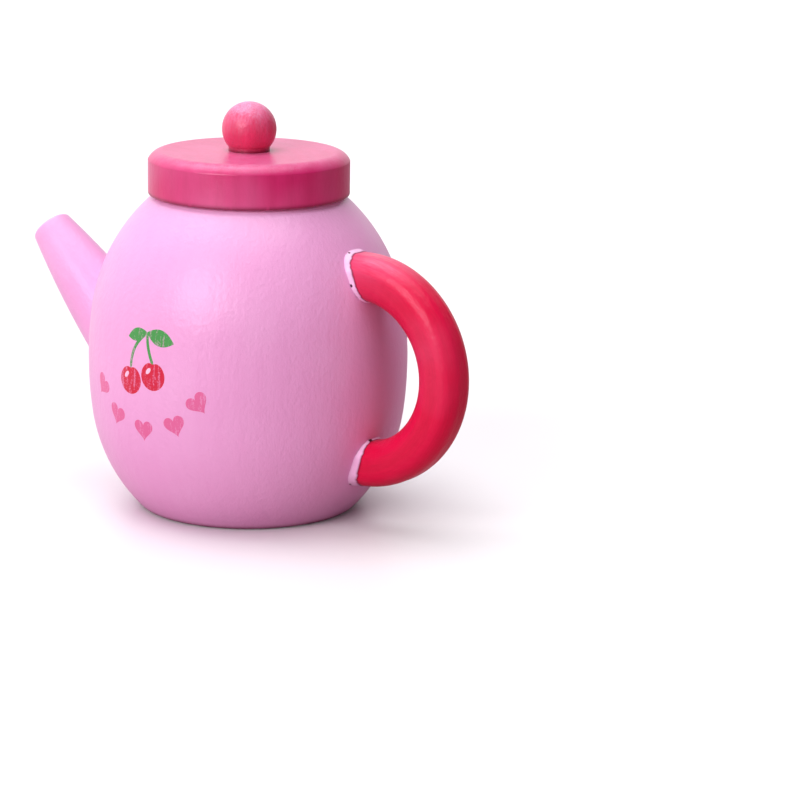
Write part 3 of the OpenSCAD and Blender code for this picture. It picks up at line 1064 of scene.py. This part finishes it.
floor_mesh = bpy.data.meshes.new("floor")
corners = floor_half*np.array([[-1, -1], [1, -1], [1, 1], [-1, 1]])
floor_mesh.from_pydata(np.column_stack([corners, np.full(4, floor_z)]).tolist(), [], [[0, 1, 2, 3]])
floor = bpy.data.objects.new("floor", floor_mesh)
bpy.context.scene.collection.objects.link(floor)
floor_material, tree, shader = new_material("floor_white")
place = add_node(tree, "TexCoord").outputs["Object"]
bright = bright_side(tree, place, left_azimuth, floor_dim_at, floor_bright_at)
bounce = mix(tree, bright, FLOOR_DIM, FLOOR_BRIGHT)
gleam = times(tree, bright, floor_gleam)
tree.links.new(mix(tree, seen_white(tree, gleam), bounce, FLOOR_SEEN), shader.inputs["Base Color"])
shader.inputs["Roughness"].default_value = floor_rough
clear = add_node(tree, "BsdfTransparent").outputs[0]
from_axis = add_node(tree, "VectorMath", place, settings={"operation": "LENGTH"}).outputs["Value"]
hole = ramp(tree, from_axis, floor_hole_r, 0.98*floor_hole_r)
open_floor = calc(tree, "MAXIMUM", hole, add_node(tree, "NewGeometry").outputs["Backfacing"])
both = add_node(tree, "MixShader", open_floor, shader.outputs[0], clear)
tree.links.new(both.outputs[0], tree.nodes["Material Output"].inputs["Surface"])
floor_mesh.materials.append(floor_material)

# Light
# Soft lamps high on the left, overhead, in front and faintly from the right, in a room with white walls
# behind and on the left and a dim end towards the right. The room looks white to the camera all round.
# Each lamp's azimuth, elevation and spread in degrees, its strength, and whether gloss shows it
lamps = {
    "high": (-84, 67, 46, 0.93, True),
    "overhead": (0, 89, 60, 1.65, True),
    "front": (-2, 26, 36, 1.84, True),
    "right": (78, 25, 46, 0.46, False),
}
wall_azimuth = -115
# Cosines of the angle from the white walls at which the room is dim and at which it is bright
room_dim_at = -0.10
room_bright_at = 0.9
room_dim = 0.02
room_bright = 0.72
DIM_TINT = (1, 0.84, 0.88, 1)
WHITE = (1, 1, 1, 1)

for name, (azimuth, elevation, spread, strength, in_gloss) in lamps.items():
    lamp = bpy.data.lights.new(name, "SUN")
    lamp.angle = np.radians(spread)
    lamp.energy = strength
    holder = bpy.data.objects.new(name, lamp)
    holder.rotation_euler = towards(azimuth, elevation).to_track_quat("Z", "Y").to_euler()
    holder.visible_glossy = in_gloss
    bpy.context.scene.collection.objects.link(holder)

world = bpy.data.worlds.new("room")
world.use_nodes = True
bpy.context.scene.world = world
tree = world.node_tree
direction = add_node(tree, "TexCoord").outputs["Generated"]
bright = bright_side(tree, direction, wall_azimuth, room_dim_at, room_bright_at)
room = tree.nodes["Background"]
tree.links.new(mix(tree, bright, DIM_TINT, WHITE), room.inputs["Color"])
tree.links.new(calc(tree, "MULTIPLY_ADD", bright, room_bright - room_dim, room_dim), room.inputs["Strength"])
white = add_node(tree, "Background", WHITE, 1.0)
both = add_node(tree, "MixShader", seen_white(tree, bright), room.outputs[0], white.outputs[0])
tree.links.new(both.outputs[0], tree.nodes["World Output"].inputs["Surface"])

# Camera
# It stands where the photographer's stood: a long lens from a little above, with the handle towards it.
camera_place = (0.45184, -0.57614, 0.20514)
camera_heading = 35.114
camera_pitch = -13.717
camera_roll = 0.893
camera_lens = 134.39
camera_sensor = 36

camera_data = bpy.data.cameras.new("camera")
camera_data.lens = camera_lens
camera_data.sensor_width = camera_sensor
camera = bpy.data.objects.new("camera", camera_data)
camera.matrix_world = (Matrix.Translation(camera_place)
                       @ Matrix.Rotation(np.radians(camera_heading), 4, "Z")
                       @ Matrix.Rotation(np.radians(90 + camera_pitch), 4, "X")
                       @ Matrix.Rotation(np.radians(camera_roll), 4, "Z"))
bpy.context.scene.collection.objects.link(camera)
bpy.context.scene.camera = camera
bpy.context.scene.view_settings.view_transform = "Standard"
